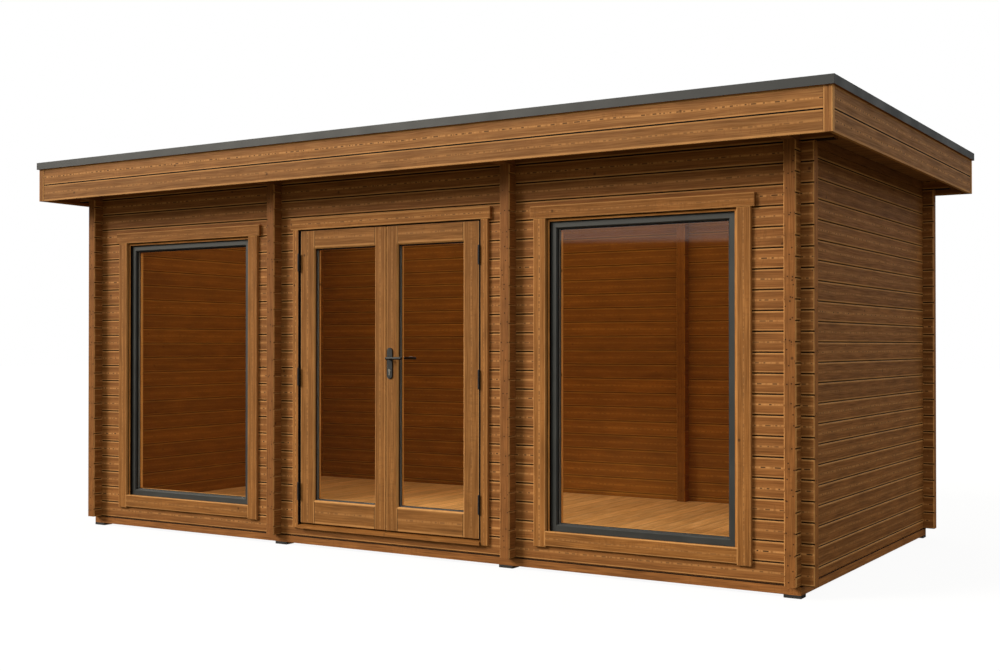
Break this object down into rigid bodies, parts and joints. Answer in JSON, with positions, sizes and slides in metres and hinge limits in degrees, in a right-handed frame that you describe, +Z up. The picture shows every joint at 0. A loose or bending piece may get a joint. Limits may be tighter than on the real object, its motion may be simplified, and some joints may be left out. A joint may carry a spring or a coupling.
{
  "type": "garden office pod",
  "caption": "Flat-roofed garden office of interlocking stained logs, with a glazed double door between two fixed picture windows.",
  "frame": {"origin": "on the ground under the middle of the roof's outline", "axes": "+X to the right as seen from the front, the front faces -Y, +Z up"},
  "size_m": [5.574, 2.954, 2.498],
  "materials": {
    "wall_logs": "planed softwood logs, brown stain",
    "joinery": "planed softwood boards and door leaves, brown stain",
    "sawn_timber": "sawn softwood, brown stain",
    "floor_boards": "planed tongued floor boards, clear oil",
    "window_frame": "powder coated dark grey",
    "window_glass": "clear float glass",
    "ironmongery": "black powder coat",
    "edge_trim": "folded sheet, dark grey coating",
    "roof_membrane": "black roofing membrane",
    "base_pad": "black moulded levelling pad"
  },
  "bodies": {
    "building": {"back_piers": "wall_logs", "back_plate": "joinery", "back_wall": "wall_logs", "base_bearers": "sawn_timber", "base_pads": "base_pad", "door_head": "joinery", "door_hinges_fixed": "ironmongery", "door_jambs": "joinery", "door_threshold": "joinery", "door_trim": "joinery", "doorway_head_logs": "wall_logs", "doorway_sill_log": "wall_logs", "fascia_back": "joinery", "fascia_front": "joinery", "fascia_posts": "joinery", "fascia_sides": "joinery", "floor_deck": "floor_boards", "floor_joists": "sawn_timber", "front_head_logs": "wall_logs", "front_inner_walls": "wall_logs", "front_outer_walls": "wall_logs", "front_piers": "wall_logs", "front_plate": "joinery", "front_sill_logs": "wall_logs", "left_wall": "wall_logs", "right_wall": "wall_logs", "roof_beams": "wall_logs", "roof_deck": "sawn_timber", "roof_edge_trim": "edge_trim", "roof_kerb": "sawn_timber", "roof_membrane": "roof_membrane", "soffit_boards": "joinery", "window_frames": "window_frame", "window_glass": "window_glass", "window_linings": "joinery", "window_trims": "joinery"},
    "left_door": {"left_door_leaf": "joinery", "left_door_glass": "window_glass", "left_hinge_moving": "ironmongery"},
    "right_door": {"right_door_leaf": "joinery", "right_door_glass": "window_glass", "right_hinge_moving": "ironmongery", "handle_plates": "ironmongery", "door_lock": "ironmongery"},
    "door_handle": {"door_lever": "ironmongery"}
  },
  "joints": [
    {"name": "left_door_hinge", "type": "hinge", "parent": "building", "child": "left_door", "pos_m": [-0.664, -1.212, 1.05], "axis": [0, 0, -1], "range_deg": [0, 105]},
    {"name": "right_door_hinge", "type": "hinge", "parent": "building", "child": "right_door", "pos_m": [0.664, -1.212, 1.05], "axis": [0, 0, 1], "range_deg": [0, 105]},
    {"name": "door_handle_turn", "type": "hinge", "parent": "right_door", "child": "door_handle", "pos_m": [0.031, -1.185, 1.167], "axis": [0, 1, 0], "range_deg": [0, 40], "stiffness_Nm_per_rad": 1.5, "springref_deg": -20.05}
  ]
}
